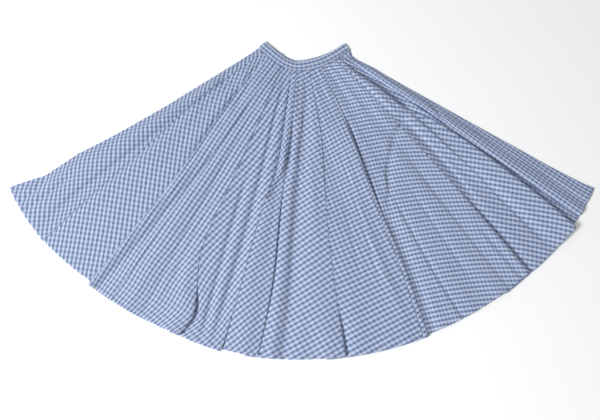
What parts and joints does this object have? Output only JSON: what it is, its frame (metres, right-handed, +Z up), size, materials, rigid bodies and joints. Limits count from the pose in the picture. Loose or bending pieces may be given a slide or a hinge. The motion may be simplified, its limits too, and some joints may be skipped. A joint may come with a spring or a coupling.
{
  "type": "pleated circle skirt, laid flat",
  "caption": "Full circle skirt of checked cotton, pleated on to a narrow waistband and laid flat in a wide fan.",
  "frame": {"origin": "middle of the outline, on the surface that the skirt lies on", "axes": "+X across the fan to the right-hand hem corner, +Y from the hem to the waistband, +Z up from the surface"},
  "size_m": [1.6974, 0.9543, 0.019],
  "materials": {
    "gore_cloth": "plain woven cotton in a small blue and white check",
    "waistband_cloth": "the same check, folded double and edge stitched"
  },
  "bodies": {
    "root": {"gore_left": "gore_cloth", "gore_centre": "gore_cloth", "gore_right": "gore_cloth", "gore_back": "gore_cloth", "waistband": "waistband_cloth"}
  },
  "joints": []
}
